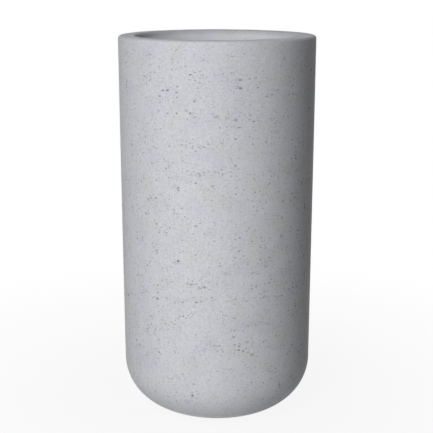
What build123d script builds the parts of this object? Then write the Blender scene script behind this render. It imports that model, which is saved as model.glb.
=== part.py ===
from build123d import *
from math import cos, radians, sin
import os

# Tall cylindrical planter of cast terrazzo, in millimetres.
# +Z is up, and the origin is on the ground under the centre of the pot.

# Terrazzo shell
outer_diameter = 380.0
overall_height = 750.0
rim_wall = 33.0
floor_thickness = 42.0
base_round = 94.0

# Inside corner of the cavity: the core is made with a few flats that follow the round of the base
inside_corner_flats = 3

# Eased edges of the rim: each is ground in a few flats, along an ellipse taller than it is wide
rim_outer_ease_width = 5.0
rim_outer_ease_height = 7.0
rim_outer_flats = 3
rim_inner_ease_width = 4.0
rim_inner_ease_height = 5.0
rim_inner_flats = 2

# Shallow recess in the underside, round the drain outlet
recess_depth = 6.0
recess_wall_slope = 3.0

# Rubber foot pads, glued in a ring on the flat of the underside
pad_count = 6
pad_diameter = 26.0
pad_thickness = 4.0
pad_margin = 2.0

# Plastic drain sleeve, cast into the floor: a tube with a cup at the top for the plug's head
bore_diameter = 27.0
sleeve_wall = 2.5
water_stop_width = 7.0
water_stop_thickness = 3.0
outlet_chamfer = 0.8

# Rubber drain plug, which drops into the sleeve from inside the pot
seat_width = 7.5
head_thickness = 4.5
head_chamfer = 1.0
head_clearance = 0.5
stem_length = 22.0
stem_clearance = 1.2
stem_wall = 5.0
stem_tip_chamfer = 1.5
lip_count = 2
lip_height = 3.0
lip_pitch = 8.0
lip_fit = 0.05
hollow_depth = 16.0
neck_diameter = 10.0
neck_height = 6.5
knob_diameter = 18.0
knob_thickness = 6.5
knob_chamfer = 2.2

# Levels, from the ground up
base_z = pad_thickness
outlet_z = base_z + recess_depth
cavity_floor_z = base_z + floor_thickness
round_top_z = base_z + base_round
rim_z = overall_height
seat_z = cavity_floor_z - head_thickness

# Radii of the shell and of its foot ring
outer_radius = outer_diameter / 2
flat_radius = outer_radius - base_round
mouth_radius = outer_radius - rim_wall
pad_circle_radius = flat_radius - pad_margin - pad_diameter / 2
recess_radius = pad_circle_radius - pad_diameter / 2 - pad_margin

# Radii of the drain, from the bore outwards and inwards
bore_radius = bore_diameter / 2
sleeve_radius = bore_radius + sleeve_wall
head_radius = bore_radius + seat_width
cup_radius = head_radius + head_clearance + sleeve_wall
stem_radius = bore_radius - stem_clearance
lip_radius = bore_radius - lip_fit
hollow_radius = stem_radius - stem_wall

os.makedirs("parts", exist_ok=True)


# Outside of the drain sleeve, which the terrazzo is cast round
cup_low_z = seat_z - sleeve_wall
water_stop_z = (outlet_z + cup_low_z) / 2

with BuildPart() as sleeve_form:
    with BuildSketch(Plane.XY.offset(outlet_z)):
        Circle(sleeve_radius)
    extrude(amount=cavity_floor_z - outlet_z)
    with BuildSketch(Plane.XY.offset(cup_low_z)):
        Circle(cup_radius)
    extrude(amount=cavity_floor_z - cup_low_z)
    with BuildSketch(Plane.XY.offset(water_stop_z)):
        Circle(sleeve_radius + water_stop_width)
    extrude(amount=water_stop_thickness / 2, both=True)


def quarter_in_flats(centre, width, height, start, turn, flats):
    """Corner points of the flats that follow a quarter of an ellipse, turned from a starting angle."""
    angles = [radians(start + turn * step / flats) for step in range(flats + 1)]
    return [(centre[0] + width * cos(angle), centre[1] + height * sin(angle)) for angle in angles]


# Half section of the shell, with the base still square
outer_ease = quarter_in_flats(
    centre=(outer_radius - rim_outer_ease_width, rim_z - rim_outer_ease_height),
    width=rim_outer_ease_width,
    height=rim_outer_ease_height,
    start=0,
    turn=90,
    flats=rim_outer_flats,
)
inner_ease = quarter_in_flats(
    centre=(mouth_radius + rim_inner_ease_width, rim_z - rim_inner_ease_height),
    width=rim_inner_ease_width,
    height=rim_inner_ease_height,
    start=90,
    turn=90,
    flats=rim_inner_flats,
)
inside_corner = quarter_in_flats(
    centre=(flat_radius, round_top_z),
    width=mouth_radius - flat_radius,
    height=round_top_z - cavity_floor_z,
    start=0,
    turn=-90,
    flats=inside_corner_flats,
)

# Terrazzo shell: one casting
with BuildPart() as planter_shell:
    with BuildSketch(Plane.XZ):
        with BuildLine():
            Polyline(
                (0, outlet_z),
                (recess_radius - recess_wall_slope, outlet_z),
                (recess_radius, base_z),
                (outer_radius, base_z),
                *outer_ease,
                *inner_ease,
                *inside_corner,
                (0, cavity_floor_z),
                close=True,
            )
        make_face()
    revolve(axis=Axis.Z)

    # Large round that carries the straight side into the foot
    fillet(planter_shell.edges().group_by(Axis.Z)[0].sort_by(SortBy.RADIUS)[-1], base_round)

    # Seat of the sleeve in the floor
    add(sleeve_form.part, mode=Mode.SUBTRACT)

planter_shell.part.label = "planter_shell"
export_step(planter_shell.part, "parts/planter_shell.step")


# Drain sleeve: the same outside, bored through, with a counterbore that takes the plug's head
with BuildPart() as drain_sleeve:
    add(sleeve_form.part)
    with Locations((0, 0, cavity_floor_z)):
        CounterBoreHole(bore_radius, head_radius + head_clearance, head_thickness)
    chamfer(drain_sleeve.edges().group_by(Axis.Z)[0].sort_by(SortBy.RADIUS)[0], outlet_chamfer)

drain_sleeve.part.label = "drain_sleeve"
export_step(drain_sleeve.part, "parts/drain_sleeve.step")


# Drain plug: moulded rubber, with a head, a hollow stem with sealing lips, and a knob to pull it by
stem_tip_z = seat_z - stem_length
knob_low_z = cavity_floor_z + neck_height

with BuildPart() as drain_plug:
    # Head, which seats on the ledge of the sleeve's cup
    with BuildSketch(Plane.XY.offset(seat_z)):
        Circle(head_radius)
    extrude(amount=head_thickness)
    chamfer(drain_plug.edges().group_by(Axis.Z)[-1], head_chamfer)

    # Stem, with a lead-in at its tip
    with BuildSketch(Plane.XY.offset(stem_tip_z)):
        Circle(stem_radius)
    extrude(amount=stem_length)
    chamfer(drain_plug.edges().group_by(Axis.Z)[0], stem_tip_chamfer)

    # Sealing lips: barbs moulded round the stem, sloped below and flat above, a running fit in the bore
    for place in range(lip_count):
        lip_z = seat_z - lip_pitch * (place + 0.5)
        with BuildSketch(Plane.XZ):
            with BuildLine():
                Polyline(
                    (hollow_radius, lip_z - lip_height),
                    (stem_radius, lip_z - lip_height),
                    (lip_radius, lip_z),
                    (hollow_radius, lip_z),
                    close=True,
                )
            make_face()
        revolve(axis=Axis.Z)

    # Hollow in the stem, so that the lips can flex
    with BuildSketch(Plane.XY.offset(stem_tip_z)):
        Circle(hollow_radius)
    extrude(amount=hollow_depth, mode=Mode.SUBTRACT)

    # Neck and knob
    with BuildSketch(Plane.XY.offset(cavity_floor_z)):
        Circle(neck_diameter / 2)
    extrude(amount=neck_height)
    with BuildSketch(Plane.XY.offset(knob_low_z)):
        Circle(knob_diameter / 2)
    extrude(amount=knob_thickness)
    chamfer(drain_plug.edges().group_by(Axis.Z)[-1], knob_chamfer)

drain_plug.part.label = "drain_plug"
export_step(drain_plug.part, "parts/drain_plug.step")


# Foot pads: rubber discs, each its own piece
for number in range(pad_count):
    with BuildPart() as foot_pad:
        with BuildSketch(Plane.XY):
            with PolarLocations(pad_circle_radius, 1, start_angle=360 * number / pad_count):
                Circle(pad_diameter / 2)
        extrude(amount=pad_thickness)
    foot_pad.part.label = f"foot_pad_{number + 1}"
    export_step(foot_pad.part, f"parts/{foot_pad.part.label}.step")
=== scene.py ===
import logging
from collections.abc import Sequence
from dataclasses import dataclass
from enum import Enum
from math import ceil, cos, pi, radians, sin

import bpy
import numpy as np
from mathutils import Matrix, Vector


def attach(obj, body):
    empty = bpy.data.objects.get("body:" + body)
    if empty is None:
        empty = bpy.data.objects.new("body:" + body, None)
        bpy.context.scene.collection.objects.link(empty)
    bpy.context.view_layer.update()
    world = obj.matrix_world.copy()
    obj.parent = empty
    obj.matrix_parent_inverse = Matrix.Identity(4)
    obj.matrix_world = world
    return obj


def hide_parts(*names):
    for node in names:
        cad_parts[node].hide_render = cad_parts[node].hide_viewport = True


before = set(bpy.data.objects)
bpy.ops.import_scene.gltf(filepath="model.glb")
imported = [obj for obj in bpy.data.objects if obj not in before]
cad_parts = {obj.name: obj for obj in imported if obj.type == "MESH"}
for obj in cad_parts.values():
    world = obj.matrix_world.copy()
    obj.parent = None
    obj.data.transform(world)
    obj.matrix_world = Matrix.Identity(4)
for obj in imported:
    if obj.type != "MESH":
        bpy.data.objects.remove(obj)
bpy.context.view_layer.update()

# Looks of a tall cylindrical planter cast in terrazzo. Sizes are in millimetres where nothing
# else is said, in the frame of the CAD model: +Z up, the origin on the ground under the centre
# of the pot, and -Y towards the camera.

logging.basicConfig(level=logging.INFO, format="%(message)s")
log = logging.getLogger("planter")

Socket = bpy.types.NodeSocket

# A millimetre, in the metres of the scene
MM = 0.001

# Points of a section that are closer than this are one point
TOUCHING = 1e-6

# Fewest steps round an eased corner
LEAST_STEPS = 5

# Edges that turn by more degrees than this show sharp
SHARP_FROM = 50

# Places of the colour mixer's sockets
FACTOR, FIRST, SECOND = 0, 6, 7
MIXED = 2


class Body(Enum):
    """The bodies of the CAD model, which the pieces ride on."""

    POT = "pot"
    PLUG = "plug"


class Slot(Enum):
    """The material slots of the record."""

    TERRAZZO = "terrazzo"
    SLEEVE = "sleeve_plastic"
    PLUG = "plug_rubber"
    PAD = "pad_rubber"


# ---------------------------------------------------------------------------
# Turned meshes
# ---------------------------------------------------------------------------


@dataclass(frozen=True)
class Corner:
    """A corner of a half section.

    Attributes:
        radius: Distance from the axis.
        height: Height above the ground.
        before: How far before the corner its easing starts. 0 leaves it sharp.
        after: How far after the corner its easing ends, or None where that is as far as before.
    """

    radius: float
    height: float
    before: float = 0.0
    after: float | None = None


def outline(corners: Sequence[Corner], pitch: float, closed: bool) -> np.ndarray:
    """Draws a half section, with its corners eased and its straight runs divided.

    Args:
        corners: The corners, anticlockwise with the radius to the right and the height up.
        pitch: Longest step between two points.
        closed: True for a ring's section, False for one that starts and ends on the axis.

    Returns:
        The points, one row of radius and height each.
    """
    spots = np.array([(corner.radius, corner.height) for corner in corners], float)
    path: list[np.ndarray] = []
    for index, corner in enumerate(corners):
        spot = spots[index]
        on_axis = not closed and index in (0, len(corners) - 1)
        if on_axis or corner.before == 0:
            path.append(spot)
            continue
        back = spots[index - 1] - spot
        ahead = spots[(index + 1) % len(corners)] - spot
        after = corner.before if corner.after is None else corner.after
        start = back / np.linalg.norm(back) * corner.before
        end = ahead / np.linalg.norm(ahead) * after
        steps = max(LEAST_STEPS, ceil((corner.before + after) / pitch))
        for turn in np.linspace(0, pi / 2, steps + 1):
            path.append(spot + start * (1 - sin(turn)) + end * (1 - cos(turn)))
    points: list[np.ndarray] = []
    ends = path[1:] + ([path[0]] if closed else [])
    for start, end in zip(path, ends):
        steps = max(1, ceil(np.linalg.norm(end - start) / pitch))
        points.extend(start + (end - start) * step / steps for step in range(steps))
    if not closed:
        points.append(path[-1])
    kept = [points[0]]
    for last, point in zip(points, points[1:]):
        if np.linalg.norm(point - last) > TOUCHING:
            kept.append(point)
    return np.array(kept)


@dataclass(frozen=True)
class Unevenness:
    """What moulding and honing by hand leave on a true shape. The base class leaves it true."""

    def apply(
        self, radius: np.ndarray, height: np.ndarray, angle: np.ndarray
    ) -> tuple[np.ndarray, np.ndarray]:
        """Returns the radii and heights unchanged."""
        return radius, height


@dataclass(frozen=True)
class Lathe:
    """Turns half sections about an upright axis.

    Attributes:
        segments: Faces round the axis.
        pitch: Longest step along the section.
    """

    segments: int
    pitch: float

    def turn(
        self,
        name: str,
        corners: Sequence[Corner],
        centre: tuple[float, float] = (0.0, 0.0),
        unevenness: Unevenness = Unevenness(),
    ) -> bpy.types.Object:
        """Makes a closed, smooth-shaded mesh object.

        Args:
            name: Name of the object.
            corners: Corners of the half section.
            centre: Where the axis stands.
            unevenness: How the surface leaves its true shape.

        Returns:
            The object, at the origin with its place in its mesh.
        """
        closed = all(corner.radius > 0 for corner in corners)
        path = outline(corners, self.pitch, closed)
        angle = np.arange(self.segments) * 2 * pi / self.segments
        ones = np.ones_like(angle)
        radius, height = unevenness.apply(path[:, :1] * ones, path[:, 1:] * ones, angle)
        x = centre[0] + radius * np.cos(angle)
        y = centre[1] + radius * np.sin(angle)
        points = np.stack([x, y, height], axis=-1) * MM
        rings = points if closed else points[1:-1]
        number = np.arange(rings.shape[0] * self.segments).reshape(-1, self.segments)
        low = number if closed else number[:-1]
        high = np.roll(number, -1, axis=0) if closed else number[1:]
        around = [low, np.roll(low, -1, axis=1), np.roll(high, -1, axis=1), high]
        faces = np.stack(around, axis=-1).reshape(-1, 4).tolist()
        vertices = rings.reshape(-1, 3).tolist()
        if not closed:
            first, last = len(vertices), len(vertices) + 1
            vertices += [points[0, 0].tolist(), points[-1, 0].tolist()]
            start, end = number[0], number[-1]
            faces += [(first, b, a) for a, b in zip(start.tolist(), np.roll(start, -1).tolist())]
            faces += [(a, b, last) for a, b in zip(end.tolist(), np.roll(end, -1).tolist())]
        mesh = bpy.data.meshes.new(name)
        mesh.from_pydata(vertices, [], faces)
        mesh.shade_smooth()
        mesh.set_sharp_from_angle(angle=radians(SHARP_FROM))
        obj = bpy.data.objects.new(name, mesh)
        bpy.context.scene.collection.objects.link(obj)
        return obj


def fit(
    obj: bpy.types.Object, body: Body, material: bpy.types.Material, node: str
) -> bpy.types.Object:
    """Puts a piece on its body in place of its CAD node, and reports it.

    Args:
        obj: The piece, in its place.
        body: The body that it rides on.
        material: Its material.
        node: The CAD node that it stands for.

    Returns:
        The same piece.
    """
    obj.data.materials.append(material)
    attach(obj, body.value)
    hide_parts(node)
    size = " x ".join(f"{length / MM:.1f}" for length in obj.dimensions)
    log.info("%s: %d faces, %s mm, for %s", obj.name, len(obj.data.polygons), size, node)
    return obj


# ---------------------------------------------------------------------------
# Materials
# ---------------------------------------------------------------------------


def colour(code: str) -> tuple[float, float, float, float]:
    """Turns an sRGB hex colour into the linear colour that shaders take.

    Args:
        code: Six hex digits.

    Returns:
        Red, green, blue and alpha.
    """
    parts = [int(code[start : start + 2], 16) / 255 for start in (0, 2, 4)]
    red, green, blue = (
        part / 12.92 if part <= 0.04045 else ((part + 0.055) / 1.055) ** 2.4 for part in parts
    )
    return red, green, blue, 1.0


def add(
    tree: bpy.types.NodeTree,
    kind: str,
    inputs: dict[str | int, object] | None = None,
    **settings: object,
) -> bpy.types.Node:
    """Adds one shader node.

    Args:
        tree: The node tree that takes it.
        kind: The node's type, without its ShaderNode prefix.
        inputs: A value or an output to link for each input, by its name or number.
        settings: The node's own settings, such as its operation.

    Returns:
        The node.
    """
    made = tree.nodes.new("ShaderNode" + kind)
    for name, value in settings.items():
        setattr(made, name, value)
    for name, value in (inputs or {}).items():
        if isinstance(value, Socket):
            tree.links.new(value, made.inputs[name])
        else:
            made.inputs[name].default_value = value
    return made


@dataclass(frozen=True)
class Finish:
    """A material. Each kind of finish draws its own surface.

    Attributes:
        name: Name of the material.
        ior: Index of refraction.
        specular: Specular level. 0.5 is a closed surface; an open-pored one mirrors less.
    """

    name: str
    ior: float
    specular: float

    def surface(self, tree: bpy.types.NodeTree, place: Socket) -> dict[str, Socket]:
        """Draws the surface, as the outputs for the Principled shader's inputs."""
        raise NotImplementedError

    def material(self) -> bpy.types.Material:
        """Makes the material, with its pattern laid out in millimetres through the solid."""
        made = bpy.data.materials.new(self.name)
        made.use_nodes = True
        tree = made.node_tree
        tree.nodes.clear()
        metres = add(tree, "TexCoord").outputs["Object"]
        place = add(tree, "VectorMath", {0: metres, "Scale": 1 / MM}, operation="SCALE").outputs[0]
        inputs = {"IOR": self.ior, "Specular IOR Level": self.specular}
        shader = add(tree, "BsdfPrincipled", {**inputs, **self.surface(tree, place)})
        add(tree, "OutputMaterial", {"Surface": shader.outputs[0]})
        return made


@dataclass(frozen=True)
class Chips:
    """One kind of chip, scattered through the mix and cut wherever the surface passes.

    Attributes:
        spacing: Distance between chips.
        radius: Radius of the largest.
        share: Share of the places that hold one.
        faintest: Cover of the least distinct chip.
        strongest: Cover of the most distinct chip.
        blur: Width of its soft edge.
        tone: Its colour, as hex.
        rarity: Power that makes distinct chips rarer than faint ones.
    """

    spacing: float
    radius: float
    share: float
    faintest: float
    strongest: float
    blur: float
    tone: str
    rarity: float = 1.8

    def cover(self, tree: bpy.types.NodeTree, place: Socket, crowd: Socket) -> Socket:
        """Draws where the chips are.

        Args:
            tree: The material's nodes.
            place: Position in millimetres.
            crowd: Factor on the chips' radius, from place to place.

        Returns:
            How much of the chips' colour covers the ground, from 0 to 1.
        """
        cells = add(tree, "TexVoronoi", {"Vector": place, "Scale": 1 / self.spacing})
        chance = add(tree, "SeparateColor", {"Color": cells.outputs["Color"]})

        # Radius of each chip, in units of the spacing: 0 where a place holds none
        bounds = {"From Max": self.share, "To Min": self.radius / self.spacing, "To Max": 0.0}
        size = add(tree, "MapRange", {"Value": chance.outputs["Red"], **bounds}).outputs[0]
        crowded = add(tree, "Math", {0: size, 1: crowd}, operation="MULTIPLY").outputs[0]
        distance = cells.outputs["Distance"]
        beyond = add(tree, "Math", {0: distance, 1: crowded}, operation="SUBTRACT").outputs[0]
        bounds = {
            "From Min": -self.blur / self.spacing,
            "From Max": 0.0,
            "To Min": 1.0,
            "To Max": 0.0,
        }
        inside = add(
            tree, "MapRange", {"Value": beyond, **bounds}, interpolation_type="SMOOTHSTEP"
        ).outputs[0]

        rare = add(tree, "Math", {0: chance.outputs["Green"], 1: self.rarity}, operation="POWER")
        bounds = {"To Min": self.faintest, "To Max": self.strongest}
        strength = add(tree, "MapRange", {"Value": rare.outputs[0], **bounds}).outputs[0]
        return add(tree, "Math", {0: inside, 1: strength}, operation="MULTIPLY").outputs[0]


@dataclass(frozen=True)
class Terrazzo(Finish):
    """Fine-chip terrazzo: white cement and marble dust with small grey chips, cast and honed.

    Honing cuts the chips flat, so they show as grey specks in a pale ground. The ground itself
    is clouded, where the cement wetted unevenly. The inside and the underside are left as cast,
    rougher and with a thin coat of cement over most of the chips. That coat is drawn paler than
    the cement: partly its own colour, and partly painted light that brightens the inside wall.

    Attributes:
        ground: Main colour of the ground.
        cloud: Colour of its darker clouds.
        skin_and_painted_light: Colour of the cement coat left as cast, made paler as painted
            light.
        warm: Tint of some wide patches.
        cool: Tint of others.
        chips: The kinds of chip.
        mouth_radius: Radius of the cavity, whose wall is left as cast.
        rim_height: Height of the rim.
        base_height: Height of the underside.
        wall_fade: How far outside the cavity's wall the cast surface fades out.
        rim_fade: Depths below the rim where the cast surface starts and ends its fade.
        base_fade: Heights above the underside where it does so there.
        drift_slant: Turns of the chips' drifts about Y and Z, in degrees.
        drift_stretch: Factor that draws the drifts out: below 1 is longer.
        drift_size: Size of a drift.
        drift_levels: Levels of the noise where a drift is loosest and most crowded.
        drift_crowding: Factors on the chips' radius there.
        rim_thinning: Depths below the rim where the chips start to thin and are thinnest.
        rim_crowding: Factor on the chips' radius at the rim.
        foot_thinning: Heights above the underside where they are thinnest and are full again.
        foot_crowding: Factor on the chips' radius at the foot.
        cast_crowding: Factor on the chips' radius where the cast coat of cement covers them.
        cloud_size: Size of a cloud.
        cloud_levels: Levels of the noise where the ground is lightest and darkest.
        skin_and_light_cover: How much of the coat's colour and painted light covers the cast
            surface.
        tint_size: Size of a tinted patch.
        tint_levels: Levels of the noise where a tint starts and is full.
        tint_strength: How much of a full tint is taken.
        ragged_size: Size of the bends in the chips' outlines.
        ragged_reach: How far the bends move an outline.
        chip_squash: Factors on the space that the chips lie in: above 1 makes them flatter.
        pluck_depth: How far a chip lies below the ground.
        grain_size: Size of the cement's grain. The real one is finer; it is drawn to show.
        grain_depths: Depth of the grain, honed and as cast.
        roughness: Roughness of the ground, honed and as cast.
        chip_roughness: How much rougher a plucked chip is.
    """

    ground: str
    cloud: str
    skin_and_painted_light: str
    warm: str
    cool: str
    chips: tuple[Chips, ...]
    mouth_radius: float
    rim_height: float
    base_height: float
    wall_fade: float = 3.0
    rim_fade: tuple[float, float] = (10.0, 3.0)
    base_fade: tuple[float, float] = (0.5, 4.0)
    drift_slant: tuple[float, float] = (32.0, 20.0)
    drift_stretch: float = 0.45
    drift_size: float = 24.0
    drift_levels: tuple[float, float] = (0.36, 0.66)
    drift_crowding: tuple[float, float] = (0.68, 1.18)
    rim_thinning: tuple[float, float] = (26.0, 8.0)
    rim_crowding: float = 0.6
    foot_thinning: tuple[float, float] = (20.0, 75.0)
    foot_crowding: float = 0.7
    cast_crowding: float = 0.7
    cloud_size: float = 3.4
    cloud_levels: tuple[float, float] = (0.3, 0.7)
    skin_and_light_cover: float = 0.75
    tint_size: float = 42.0
    tint_levels: tuple[float, float] = (0.48, 0.68)
    tint_strength: float = 0.35
    ragged_size: float = 3.2
    ragged_reach: float = 4.0
    chip_squash: tuple[float, float, float] = (0.8, 0.8, 1.25)
    pluck_depth: float = 0.18
    grain_size: float = 2.6
    grain_depths: tuple[float, float] = (0.10, 0.28)
    roughness: tuple[float, float] = (0.58, 0.85)
    chip_roughness: float = 0.12

    def as_cast(self, tree: bpy.types.NodeTree, place: Socket, height: Socket) -> Socket:
        """Draws 1 where the surface is left as cast, inside and under the pot, and 0 elsewhere."""
        level = add(tree, "VectorMath", {0: place, 1: (1.0, 1.0, 0.0)}, operation="MULTIPLY")
        radius = add(tree, "VectorMath", {0: level.outputs[0]}, operation="LENGTH")
        spans = (
            (radius.outputs["Value"], self.mouth_radius, self.mouth_radius + self.wall_fade),
            (height, self.rim_height - self.rim_fade[0], self.rim_height - self.rim_fade[1]),
            (height, self.base_height + self.base_fade[0], self.base_height + self.base_fade[1]),
        )
        within, below, under = (
            add(
                tree,
                "MapRange",
                {"Value": value, "From Min": low, "From Max": high, "To Min": 1.0, "To Max": 0.0},
            ).outputs[0]
            for value, low, high in spans
        )
        cavity = add(tree, "Math", {0: within, 1: below}, operation="MULTIPLY").outputs[0]
        return add(tree, "Math", {0: cavity, 1: under}, operation="MAXIMUM").outputs[0]

    def crowding(
        self, tree: bpy.types.NodeTree, place: Socket, height: Socket, cast: Socket
    ) -> Socket:
        """Draws how crowded the chips are.

        They lie in loose slanting drifts, and thinner by the rim, by the foot and as cast.

        Args:
            tree: The material's nodes.
            place: Position in millimetres.
            height: Height above the ground.
            cast: 1 where the surface is left as cast.

        Returns:
            The factor on the chips' radius.
        """
        about_y, about_z = (radians(turn) for turn in self.drift_slant)
        slant = {"Rotation": (0.0, about_y, about_z), "Scale": (self.drift_stretch, 1.0, 1.0)}
        along = add(tree, "Mapping", {"Vector": place, **slant}).outputs[0]
        noise = {"Vector": along, "Scale": 1 / self.drift_size, "Detail": 2.0}
        drift = add(tree, "TexNoise", noise).outputs["Fac"]
        rim = [self.rim_height - depth for depth in self.rim_thinning]
        foot = [self.base_height + rise for rise in self.foot_thinning]
        spans = (
            (drift, *self.drift_levels, *self.drift_crowding),
            (height, *rim, 1.0, self.rim_crowding),
            (height, *foot, self.foot_crowding, 1.0),
            (cast, 0.0, 1.0, 1.0, self.cast_crowding),
        )
        total: Socket | float = 1.0
        for value, low, high, start, end in spans:
            bounds = {"From Min": low, "From Max": high, "To Min": start, "To Max": end}
            part = add(tree, "MapRange", {"Value": value, **bounds}).outputs[0]
            total = add(tree, "Math", {0: total, 1: part}, operation="MULTIPLY").outputs[0]
        return total

    def clouded(self, tree: bpy.types.NodeTree, place: Socket, cast: Socket) -> Socket:
        """Draws the ground: fine clouds, the cast coat with painted light, and faint wide tints.
        """
        noise = {"Vector": place, "Scale": 1 / self.cloud_size, "Detail": 3.0, "Roughness": 0.6}
        clouds = add(tree, "TexNoise", noise).outputs["Fac"]
        bounds = {"From Min": self.cloud_levels[0], "From Max": self.cloud_levels[1]}
        amount = add(tree, "MapRange", {"Value": clouds, **bounds}).outputs[0]
        colours = {FIRST: colour(self.ground), SECOND: colour(self.cloud)}
        base = add(tree, "Mix", {FACTOR: amount, **colours}, data_type="RGBA").outputs[MIXED]
        # The cast coat: its own paler cement, plus painted light that brightens the inside wall
        film = add(tree, "Math", {0: cast, 1: self.skin_and_light_cover}, operation="MULTIPLY").outputs[0]
        colours = {FIRST: base, SECOND: colour(self.skin_and_painted_light)}
        base = add(tree, "Mix", {FACTOR: film, **colours}, data_type="RGBA").outputs[MIXED]

        noise = {"Vector": place, "Scale": 1 / self.tint_size, "Detail": 1.0}
        patches = add(tree, "TexNoise", noise).outputs["Color"]
        tints = add(tree, "SeparateColor", {"Color": patches})
        bounds = {
            "From Min": self.tint_levels[0],
            "From Max": self.tint_levels[1],
            "To Max": self.tint_strength,
        }
        for part, tint in (("Red", self.warm), ("Blue", self.cool)):
            reach = add(
                tree,
                "MapRange",
                {"Value": tints.outputs[part], **bounds},
                interpolation_type="SMOOTHSTEP",
            ).outputs[0]
            base = add(
                tree,
                "Mix",
                {FACTOR: reach, FIRST: base, SECOND: colour(tint)},
                data_type="RGBA",
                blend_type="MULTIPLY",
            ).outputs[MIXED]
        return base

    def surface(self, tree: bpy.types.NodeTree, place: Socket) -> dict[str, Socket]:
        """Draws the clouded ground, the chips cut flat in it, and the relief of both."""
        height = add(tree, "SeparateXYZ", {0: place}).outputs["Z"]
        cast = self.as_cast(tree, place, height)
        crowd = self.crowding(tree, place, height, cast)
        base = self.clouded(tree, place, cast)

        # Chips: their outlines are broken by bending the space they lie in, and are wide and low
        noise = {"Vector": place, "Scale": 1 / self.ragged_size, "Detail": 2.0}
        ragged = add(tree, "TexNoise", noise).outputs["Color"]
        centred = add(tree, "VectorMath", {0: ragged, 1: (0.5, 0.5, 0.5)}, operation="SUBTRACT")
        bent = add(
            tree,
            "VectorMath",
            {0: centred.outputs[0], 1: (self.ragged_reach,) * 3, 2: place},
            operation="MULTIPLY_ADD",
        ).outputs[0]
        lying = add(tree, "VectorMath", {0: bent, 1: self.chip_squash}, operation="MULTIPLY")
        hollow: Socket | float = 0.0
        for kind in self.chips:
            cover = kind.cover(tree, lying.outputs[0], crowd)
            colours = {FIRST: base, SECOND: colour(kind.tone)}
            base = add(tree, "Mix", {FACTOR: cover, **colours}, data_type="RGBA").outputs[MIXED]
            hollow = add(tree, "Math", {0: hollow, 1: cover}, operation="ADD").outputs[0]

        # Relief, in millimetres: chips plucked below the ground, and the grain of the cement
        sunk = add(tree, "Math", {0: hollow, 1: -self.pluck_depth}, operation="MULTIPLY")
        noise = {"Vector": place, "Scale": 1 / self.grain_size, "Detail": 3.0, "Roughness": 0.6}
        grain = add(tree, "TexNoise", noise).outputs["Fac"]
        bounds = {"To Min": self.grain_depths[0], "To Max": self.grain_depths[1]}
        coarse = add(tree, "MapRange", {"Value": cast, **bounds}).outputs[0]
        relief = add(
            tree, "Math", {0: grain, 1: coarse, 2: sunk.outputs[0]}, operation="MULTIPLY_ADD"
        ).outputs[0]
        bump = add(tree, "Bump", {"Height": relief, "Distance": MM, "Strength": 1.0})
        bounds = {"To Min": self.roughness[0], "To Max": self.roughness[1]}
        dull = add(tree, "MapRange", {"Value": cast, **bounds}).outputs[0]
        rough = add(
            tree,
            "Math",
            {0: hollow, 1: self.chip_roughness, 2: dull},
            operation="MULTIPLY_ADD",
            use_clamp=True,
        )
        return {"Base Color": base, "Roughness": rough.outputs[0], "Normal": bump.outputs[0]}


@dataclass(frozen=True)
class Moulded(Finish):
    """Rubber or plastic moulded in a steel tool, whose spark-eroded cavity leaves a matt grain.

    Attributes:
        tone: Main colour.
        bloom: Colour of the faint film that handling and ageing leave on it.
        film: Most that the film covers.
        roughness: Roughness of the clean surface.
        grain: Size of the grain. The real one is about 0.1 mm; it is drawn coarse enough to show.
        depth: Depth of the grain.
        smear_size: Size of a smear in the film.
        smear_levels: Levels of the noise where a smear starts and is full.
        film_roughness: How much rougher a full film is.
    """

    tone: str
    bloom: str
    film: float
    roughness: float
    grain: float
    depth: float
    smear_size: float = 9.0
    smear_levels: tuple[float, float] = (0.4, 0.75)
    film_roughness: float = 0.35

    def surface(self, tree: bpy.types.NodeTree, place: Socket) -> dict[str, Socket]:
        """Draws the even tone, the patchy film over it and the grain."""
        noise = {"Vector": place, "Scale": 1 / self.smear_size, "Detail": 4.0, "Roughness": 0.6}
        smear = add(tree, "TexNoise", noise).outputs["Fac"]
        low, high = self.smear_levels
        cover = add(
            tree,
            "MapRange",
            {"Value": smear, "From Min": low, "From Max": high, "To Max": self.film},
            interpolation_type="SMOOTHSTEP",
        ).outputs[0]
        colours = {FIRST: colour(self.tone), SECOND: colour(self.bloom)}
        base = add(tree, "Mix", {FACTOR: cover, **colours}, data_type="RGBA").outputs[MIXED]
        rough = add(
            tree,
            "Math",
            {0: cover, 1: self.film_roughness, 2: self.roughness},
            operation="MULTIPLY_ADD",
        )
        noise = {"Vector": place, "Scale": 1 / self.grain, "Detail": 2.0}
        grain = add(tree, "TexNoise", noise).outputs["Fac"]
        relief = add(tree, "Math", {0: grain, 1: self.depth}, operation="MULTIPLY").outputs[0]
        bump = add(tree, "Bump", {"Height": relief, "Distance": MM, "Strength": 1.0})
        return {"Base Color": base, "Roughness": rough.outputs[0], "Normal": bump.outputs[0]}


# ---------------------------------------------------------------------------
# Pieces of the planter
# ---------------------------------------------------------------------------


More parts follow.
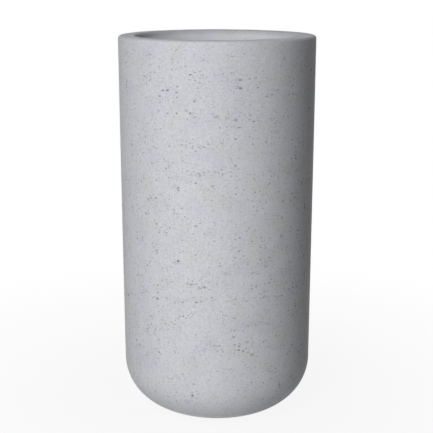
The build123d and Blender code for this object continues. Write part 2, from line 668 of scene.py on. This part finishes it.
@dataclass(frozen=True)
class CastUnevenness(Unevenness):
    """The pot's own unevenness: waves from the mould, a rim honed by hand, nicks on its edge.

    Attributes:
        rim_height: Height of the rim.
        outer_radius: Outer radius of the pot.
        floor_reach: Radius within which the casting is held true by the drain.
        floor_fade: Width over which the waves grow outside it.
        wave: Height of the waves in the walls.
        wave_counts: Numbers of waves round the pot.
        wave_twist: Most that a wave turns over a metre of height, in radians.
        rim_dip: Deepest dip in the top of the rim.
        rim_reach: Depth below the rim that the dips reach.
        dip_counts: Numbers of dips round the rim.
        dip_fall: Power by which finer dips are shallower.
        nicks: Number of nicks.
        nick_depth: Depth of the deepest.
        nick_shares: Shares of that depth that the nicks lie between.
        nick_widths: Widths that they lie between.
        nick_reach: Distance from the rim's outer edge that they reach.
        seed: Seed of the pattern.
    """

    rim_height: float
    outer_radius: float
    floor_reach: float = 110.0
    floor_fade: float = 40.0
    wave: float = 0.3
    wave_counts: tuple[int, ...] = (2, 3, 4, 5, 6, 7)
    wave_twist: float = 9.0
    rim_dip: float = 0.5
    rim_reach: float = 9.0
    dip_counts: tuple[int, ...] = (2, 3, 5, 9, 14, 23)
    dip_fall: float = 0.6
    nicks: int = 16
    nick_depth: float = 0.9
    nick_shares: tuple[float, float] = (0.3, 1.0)
    nick_widths: tuple[float, float] = (3.0, 7.0)
    nick_reach: float = 8.0
    seed: int = 11

    def apply(
        self, radius: np.ndarray, height: np.ndarray, angle: np.ndarray
    ) -> tuple[np.ndarray, np.ndarray]:
        """Bends the true shape.

        Args:
            radius: Radii of the points, one row for each point of the section.
            height: Their heights.
            angle: Angle of each column.

        Returns:
            The bent radii and heights.
        """
        chance = np.random.default_rng(self.seed)
        share = np.clip((radius - self.floor_reach) / self.floor_fade, 0, 1)
        waves = np.zeros_like(radius)
        for around in self.wave_counts:
            along = chance.uniform(-self.wave_twist, self.wave_twist)
            turned = around * angle + along * height * MM + chance.uniform(0, 2 * pi)
            waves += np.sin(turned) / around
        bent = radius + self.wave * share * waves

        depth = self.rim_height - height
        near_rim = np.clip(1 - depth / self.rim_reach, 0, 1) ** 2
        dips = np.zeros_like(angle)
        for around in self.dip_counts:
            dips += np.sin(around * angle + chance.uniform(0, 2 * pi)) / around**self.dip_fall
        dips = (dips - dips.max()) / np.ptp(dips)
        lowered = height + self.rim_dip * near_rim * dips

        from_edge = np.hypot(self.outer_radius - radius, depth)
        edge = np.clip(1 - from_edge / self.nick_reach, 0, 1)
        for _ in range(self.nicks):
            away = (angle - chance.uniform(0, 2 * pi) + pi) % (2 * pi) - pi
            width = chance.uniform(*self.nick_widths) / self.outer_radius
            deepest = chance.uniform(*self.nick_shares) * self.nick_depth
            nick = deepest * edge * np.exp(-((away / width) ** 2))
            bent = bent - nick
            lowered = lowered - nick
        return bent, lowered


@dataclass(frozen=True)
class TerrazzoShell:
    """The pot: one terrazzo casting, straight-sided, with a large base round and a flat rim."""

    finish: Terrazzo
    outer_radius: float = 190.0
    rim_height: float = 750.0
    base_height: float = 4.0
    wall: float = 33.0
    floor: float = 42.0
    base_round: float = 94.0
    rim_outer_ease: tuple[float, float] = (5.0, 7.0)
    rim_inner_ease: tuple[float, float] = (4.0, 5.0)
    recess_radius: float = 66.0
    recess_depth: float = 6.0
    recess_slope: float = 3.0
    cup_radius: float = 24.0
    cup_depth: float = 7.0
    sleeve_radius: float = 16.0
    stop_radius: float = 23.0
    stop_low: float = 23.0
    stop_high: float = 26.0
    cast_gap: float = 0.05

    def corners(self) -> list[Corner]:
        """Lists the half section's corners, from the drain along the underside and back inside."""
        mouth = self.outer_radius - self.wall
        floor = self.base_height + self.floor
        roof = self.base_height + self.recess_depth
        flat = self.outer_radius - self.base_round
        bore = self.sleeve_radius + self.cast_gap
        cup = self.cup_radius + self.cast_gap
        stop = self.stop_radius + self.cast_gap
        outer_width, outer_height = self.rim_outer_ease
        inner_width, inner_height = self.rim_inner_ease
        return [
            Corner(bore, roof, 0.6),
            Corner(self.recess_radius - self.recess_slope, roof, 2.0),
            Corner(self.recess_radius, self.base_height, 1.2),
            Corner(self.outer_radius, self.base_height, self.base_round),
            Corner(self.outer_radius, self.rim_height, outer_height, outer_width),
            Corner(mouth, self.rim_height, inner_width, inner_height),
            Corner(mouth, floor, self.base_round - self.floor, mouth - flat),
            Corner(cup, floor, 0.4),
            Corner(cup, floor - self.cup_depth),
            Corner(bore, floor - self.cup_depth),
            Corner(bore, self.stop_high),
            Corner(stop, self.stop_high),
            Corner(stop, self.stop_low),
            Corner(bore, self.stop_low),
        ]

    def build(self, lathe: Lathe) -> bpy.types.Object:
        """Makes the pot in place of its CAD node."""
        uneven = CastUnevenness(rim_height=self.rim_height, outer_radius=self.outer_radius)
        pot = lathe.turn("pot_terrazzo", self.corners(), unevenness=uneven)
        return fit(pot, Body.POT, self.finish.material(), "planter_shell")


@dataclass(frozen=True)
class DrainSleeve:
    """The plastic tube cast into the floor, with a cup for the plug's head and a water stop."""

    finish: Moulded
    bore: float = 13.5
    outer: float = 16.0
    low: float = 10.0
    high: float = 46.0
    cup_outer: float = 24.0
    cup_inner: float = 21.5
    cup_low: float = 39.0
    ledge: float = 41.5
    stop: float = 23.0
    stop_low: float = 23.0
    stop_high: float = 26.0
    outlet_chamfer: float = 0.8

    def corners(self) -> list[Corner]:
        """Lists the half section's corners, from the outlet up outside and back down the bore."""
        return [
            Corner(self.bore + self.outlet_chamfer, self.low, 0.15),
            Corner(self.outer, self.low, 0.25),
            Corner(self.outer, self.stop_low, 0.3),
            Corner(self.stop, self.stop_low, 0.5),
            Corner(self.stop, self.stop_high, 0.5),
            Corner(self.outer, self.stop_high, 0.3),
            Corner(self.outer, self.cup_low, 0.6),
            Corner(self.cup_outer, self.cup_low, 1.0),
            Corner(self.cup_outer, self.high, 0.2),
            Corner(self.cup_inner, self.high, 0.5),
            Corner(self.cup_inner, self.ledge, 0.3),
            Corner(self.bore, self.ledge, 0.5),
            Corner(self.bore, self.low + self.outlet_chamfer, 0.15),
        ]

    def build(self, lathe: Lathe) -> bpy.types.Object:
        """Makes the sleeve in place of its CAD node."""
        sleeve = lathe.turn("sleeve_moulded", self.corners())
        return fit(sleeve, Body.POT, self.finish.material(), "drain_sleeve")


@dataclass(frozen=True)
class DrainPlug:
    """The rubber plug: a head, a hollow stem with two sealing lips, and a knob to pull it by."""

    finish: Moulded
    seat: float = 41.5
    top: float = 46.0
    head: float = 21.0
    tip: float = 19.5
    tip_chamfer: float = 1.5
    stem: float = 12.3
    lip: float = 13.45
    lip_tops: tuple[float, ...] = (29.5, 37.5)
    lip_height: float = 3.0
    hollow: float = 7.3
    hollow_roof: float = 35.5
    neck: float = 5.0
    knob: float = 9.0
    knob_low: float = 52.5
    knob_top: float = 59.0
    ring_outer: float = 16.5
    ring_inner: float = 11.5
    ring_slope: float = 0.5
    ring_depth: float = 0.6
    gate: float = 1.7
    gate_slope: float = 0.4
    gate_depth: float = 0.5

    def corners(self) -> list[Corner]:
        """Lists the half section's corners, from the hollow's roof round the stem to the knob."""
        lips: list[Corner] = []
        for top in self.lip_tops:
            lips.append(Corner(self.stem, top - self.lip_height, 0.4))
            lips.append(Corner(self.lip, top, 0.3))
            lips.append(Corner(self.stem, top, 0.25))
        return [
            Corner(0.0, self.hollow_roof),
            Corner(self.hollow, self.hollow_roof, 2.5),
            Corner(self.hollow, self.tip, 0.6),
            Corner(self.stem - self.tip_chamfer, self.tip, 0.5),
            Corner(self.stem, self.tip + self.tip_chamfer, 0.5),
            *lips,
            Corner(self.stem, self.seat, 0.4),
            Corner(self.head, self.seat, 0.6),
            Corner(self.head, self.top, 1.2),
            # A shallow moulded ring, sunk in the head's top
            Corner(self.ring_outer, self.top, 0.3),
            Corner(self.ring_outer - self.ring_slope, self.top - self.ring_depth, 0.3),
            Corner(self.ring_inner + self.ring_slope, self.top - self.ring_depth, 0.3),
            Corner(self.ring_inner, self.top, 0.3),
            Corner(self.neck, self.top, 2.0),
            Corner(self.neck, self.knob_low, 1.6),
            Corner(self.knob, self.knob_low, 1.2),
            Corner(self.knob, self.knob_top, 2.6),
            # The gate mark in the middle of the knob
            Corner(self.gate, self.knob_top, 0.3),
            Corner(self.gate - self.gate_slope, self.knob_top - self.gate_depth, 0.2),
            Corner(0.0, self.knob_top - self.gate_depth),
        ]

    def build(self, lathe: Lathe) -> bpy.types.Object:
        """Makes the plug in place of its CAD node."""
        plug = lathe.turn("plug_moulded", self.corners())
        return fit(plug, Body.PLUG, self.finish.material(), "drain_plug")


@dataclass(frozen=True)
class FootPads:
    """Six rubber discs glued in a ring under the base, each with two grip grooves underneath."""

    finish: Moulded
    count: int = 6
    circle: float = 81.0
    radius: float = 13.0
    thickness: float = 4.0
    glue: float = 0.25
    glue_inset: float = 0.8
    grooves: tuple[float, ...] = (4.5, 8.5)
    groove_width: float = 1.5
    groove_slope: float = 0.4
    groove_depth: float = 0.5

    def corners(self) -> list[Corner]:
        """Lists the half section's corners, from the middle of the underside to the glue."""
        rings: list[Corner] = []
        for inner in self.grooves:
            outer = inner + self.groove_width
            rings.append(Corner(inner, 0.0, 0.2))
            rings.append(Corner(inner + self.groove_slope, self.groove_depth, 0.15))
            rings.append(Corner(outer - self.groove_slope, self.groove_depth, 0.15))
            rings.append(Corner(outer, 0.0, 0.2))
        shoulder = self.thickness - self.glue
        return [
            Corner(0.0, 0.0),
            *rings,
            Corner(self.radius, 0.0, 0.9),
            Corner(self.radius, shoulder, 0.5),
            Corner(self.radius - self.glue_inset, shoulder, 0.1),
            Corner(self.radius - self.glue_inset, self.thickness),
            Corner(0.0, self.thickness),
        ]

    def build(self, lathe: Lathe) -> list[bpy.types.Object]:
        """Makes the pads in place of their CAD nodes."""
        material = self.finish.material()
        pads = []
        for number in range(self.count):
            angle = 2 * pi * number / self.count
            centre = (self.circle * cos(angle), self.circle * sin(angle))
            pad = lathe.turn(f"pad_moulded_{number + 1}", self.corners(), centre)
            pads.append(fit(pad, Body.POT, material, f"foot_pad_{number + 1}"))
        return pads


# ---------------------------------------------------------------------------
# Studio
# ---------------------------------------------------------------------------


@dataclass(frozen=True)
class Lamp:
    """A softbox, aimed at a point on the pot's axis. Its sizes are in metres.

    Attributes:
        name: Name of the lamp.
        azimuth: Degrees to the camera's right of the camera's side.
        height: Height above the ground.
        distance: Level distance from the axis.
        aim: Height of the point that it faces.
        size: Width and height of its face.
        power: Power in watts.
        tone: Colour of its light, as hex.
    """

    name: str
    azimuth: float
    height: float
    distance: float
    aim: float
    size: tuple[float, float]
    power: float
    tone: str = "fbfcff"

    def hang(self) -> None:
        """Makes the lamp, unseen by the camera."""
        light = bpy.data.lights.new(self.name, "AREA")
        light.shape = "RECTANGLE"
        light.size, light.size_y = self.size
        light.energy = self.power
        light.color = colour(self.tone)[:3]
        lamp = bpy.data.objects.new(self.name, light)
        around = radians(self.azimuth)
        lamp.location = (self.distance * sin(around), -self.distance * cos(around), self.height)
        facing = Vector((0.0, 0.0, self.aim)) - lamp.location
        lamp.rotation_euler = facing.to_track_quat("-Z", "Y").to_euler()
        lamp.visible_camera = False
        bpy.context.scene.collection.objects.link(lamp)
        log.info("%s: %.1f W at %.0f degrees", self.name, self.power, self.azimuth)


@dataclass(frozen=True)
class Studio:
    """A pale floor that runs into white, the lamps, and the little light that the room adds.

    Attributes:
        lamps: The lamps.
        room: Colour of the light from the rest of the room, as hex.
        room_strength: Its strength.
        floor_size: Width of the floor, in metres.
        floor_tone: Colour of the floor, as hex.
        floor_drop: How far it lies below the pads, in metres, so that no two faces coincide.
        shade: How much of the floor's own shading the camera sees close to the pot.
        shade_reach: Distance at which the floor has turned to plain white, in metres.
    """

    lamps: tuple[Lamp, ...]
    room: str = "fff8f0"
    room_strength: float = 0.01
    floor_size: float = 12.0
    floor_tone: str = "bcbcbc"
    floor_drop: float = 0.0003
    shade: float = 0.1
    shade_reach: float = 1.1

    def seen_directly(self, tree: bpy.types.NodeTree) -> Socket:
        """Draws 1 for rays that show a thing itself, also in a mirror or through glass, else 0."""
        path = add(tree, "LightPath")
        seen = path.outputs["Is Camera Ray"]
        for kind in ("Is Glossy Ray", "Is Transmission Ray"):
            rays = {0: seen, 1: path.outputs[kind]}
            seen = add(tree, "Math", rays, operation="MAXIMUM").outputs[0]
        return seen

    def light_room(self) -> None:
        """Makes the world: white where it is seen, dim elsewhere."""
        world = bpy.data.worlds.new("room")
        world.use_nodes = True
        tree = world.node_tree
        tree.nodes.clear()
        white = add(tree, "Background", {"Color": colour("ffffff"), "Strength": 1.0})
        dim = add(tree, "Background", {"Color": colour(self.room), "Strength": self.room_strength})
        seen = self.seen_directly(tree)
        both = add(tree, "MixShader", {0: seen, 1: dim.outputs[0], 2: white.outputs[0]})
        add(tree, "OutputWorld", {"Surface": both.outputs[0]})
        bpy.context.scene.world = world

    def lay_floor(self) -> None:
        """Makes the floor: a pale sheet whose shading fades to white away from the pot."""
        half = self.floor_size / 2
        corners = [(-half, -half, 0), (half, -half, 0), (half, half, 0), (-half, half, 0)]
        mesh = bpy.data.meshes.new("floor")
        mesh.from_pydata(corners, [], [(0, 1, 2, 3)])
        floor = bpy.data.objects.new("floor", mesh)
        floor.location.z = -self.floor_drop
        bpy.context.scene.collection.objects.link(floor)
        material = bpy.data.materials.new("floor_paper")
        material.use_nodes = True
        tree = material.node_tree
        tree.nodes.clear()
        where = add(tree, "TexCoord").outputs["Object"]
        away = add(tree, "VectorMath", {0: where}, operation="LENGTH").outputs["Value"]
        bounds = {"From Max": self.shade_reach, "To Min": 1 - self.shade, "To Max": 1.0}
        fade = add(
            tree, "MapRange", {"Value": away, **bounds}, interpolation_type="SMOOTHSTEP"
        ).outputs[0]
        seen = self.seen_directly(tree)
        hidden = add(tree, "Math", {0: fade, 1: seen}, operation="MULTIPLY").outputs[0]
        paper = add(tree, "BsdfDiffuse", {"Color": colour(self.floor_tone)})
        white = add(tree, "Emission", {"Color": colour("ffffff"), "Strength": 1.0})
        both = add(tree, "MixShader", {0: hidden, 1: paper.outputs[0], 2: white.outputs[0]})
        add(tree, "OutputMaterial", {"Surface": both.outputs[0]})
        mesh.materials.append(material)

    def build(self) -> None:
        """Makes the room, the floor and the lamps, with colours shown as they are."""
        bpy.context.scene.view_settings.view_transform = "Standard"
        self.light_room()
        self.lay_floor()
        for lamp in self.lamps:
            lamp.hang()


@dataclass(frozen=True)
class Viewpoint:
    """The camera, as fitted to the outline in the photograph.

    Attributes:
        place: Where it stands, in metres.
        pitch: Degrees that it looks down.
        focal: Focal length, for the width of picture below.
        width: Width of the picture in the camera.
    """

    place: tuple[float, float, float] = (-0.001, -1.8353, 0.8587)
    pitch: float = 14.35
    focal: float = 78.14
    width: float = 36.0

    def build(self) -> None:
        """Makes the camera and gives it to the scene."""
        lens = bpy.data.cameras.new("camera")
        lens.lens = self.focal
        lens.sensor_width = self.width
        camera = bpy.data.objects.new("camera", lens)
        camera.location = self.place
        camera.rotation_euler = (radians(90 - self.pitch), 0.0, 0.0)
        bpy.context.scene.collection.objects.link(camera)
        bpy.context.scene.camera = camera


# ---------------------------------------------------------------------------
# Choices for this planter
# ---------------------------------------------------------------------------

# White cement with marble dust and grey chips, honed: matt, pale and faintly clouded, with
# small grey specks and a few white ones
TERRAZZO = Terrazzo(
    name="honed_terrazzo",
    ior=1.50,
    specular=0.25,
    ground="d2d3d6",
    cloud="bebfc2",
    # The cast coat is paler than the ground, partly as painted light on the inside wall
    skin_and_painted_light="eeeff2",
    warm="f7f8ea",
    cool="f3f3f8",
    chips=(
        # Fine grey chips, everywhere
        Chips(
            spacing=3.9,
            radius=2.0,
            share=1.0,
            faintest=0.3,
            strongest=0.8,
            blur=1.0,
            tone="7c7d80",
        ),
        # Larger dark ones
        Chips(
            spacing=6.4,
            radius=2.8,
            share=0.9,
            faintest=0.3,
            strongest=0.85,
            blur=1.3,
            tone="5a5b5d",
        ),
        # White marble
        Chips(
            spacing=6.0,
            radius=1.7,
            share=0.6,
            faintest=0.3,
            strongest=0.9,
            blur=0.8,
            tone="e0e1e3",
        ),
    ),
    mouth_radius=157.0,
    rim_height=750.0,
    base_height=4.0,
)

# Polypropylene, injection moulded: slightly waxy, an even grey
SLEEVE_PLASTIC = Moulded(
    name="moulded_polypropylene",
    ior=1.49,
    specular=0.5,
    tone="949699",
    bloom="b4b3ae",
    film=0.35,
    roughness=0.42,
    grain=0.8,
    depth=0.04,
)

# EPDM rubber, compression moulded: near black, matt, with a faint pale bloom
PLUG_RUBBER = Moulded(
    name="moulded_plug_rubber",
    ior=1.52,
    specular=0.4,
    tone="303031",
    bloom="5d5c59",
    film=0.4,
    roughness=0.55,
    grain=0.8,
    depth=0.05,
)

# The same rubber in a harder grade, scuffed by the floor
PAD_RUBBER = Moulded(
    name="moulded_pad_rubber",
    ior=1.52,
    specular=0.4,
    tone="363636",
    bloom="6b6862",
    film=0.6,
    roughness=0.62,
    grain=1.0,
    depth=0.07,
)

STUDIO = Studio(
    lamps=(
        # The main light, from the left of the camera
        Lamp(
            "key",
            azimuth=-20,
            height=1.55,
            distance=2.2,
            aim=0.5,
            size=(0.9, 1.4),
            power=31.5,
        ),
        # From above it, for the rim and the top of the inside
        Lamp(
            "high_key",
            azimuth=-22,
            height=2.2,
            distance=1.8,
            aim=0.6,
            size=(0.9, 1.0),
            power=12.5,
        ),
        # A little light along the left edge
        Lamp(
            "left_edge",
            azimuth=-105,
            height=0.9,
            distance=2.2,
            aim=0.4,
            size=(0.6, 1.5),
            power=2.6,
        ),
        # Below the rim, so that it lights only the back, which the main view doesn't show
        Lamp(
            "back",
            azimuth=178,
            height=0.4,
            distance=2.3,
            aim=0.38,
            size=(0.9, 0.6),
            power=14,
        ),
        # Close to the floor, for the lowest part of the base round
        Lamp(
            "foot_card",
            azimuth=-20,
            height=0.08,
            distance=1.1,
            aim=0.12,
            size=(1.0, 0.2),
            power=3.4,
        ),
    ),
)


def main() -> None:
    """Builds the pieces, then the studio and the camera."""
    fine = Lathe(segments=128, pitch=1.5)
    pieces = [
        TerrazzoShell(finish=TERRAZZO).build(Lathe(segments=480, pitch=4.0)),
        DrainSleeve(finish=SLEEVE_PLASTIC).build(fine),
        DrainPlug(finish=PLUG_RUBBER).build(fine),
        *FootPads(finish=PAD_RUBBER).build(Lathe(segments=72, pitch=1.5)),
    ]
    log.info("%d pieces in place", len(pieces))
    STUDIO.build()
    Viewpoint().build()


if __name__ == "__main__":
    main()
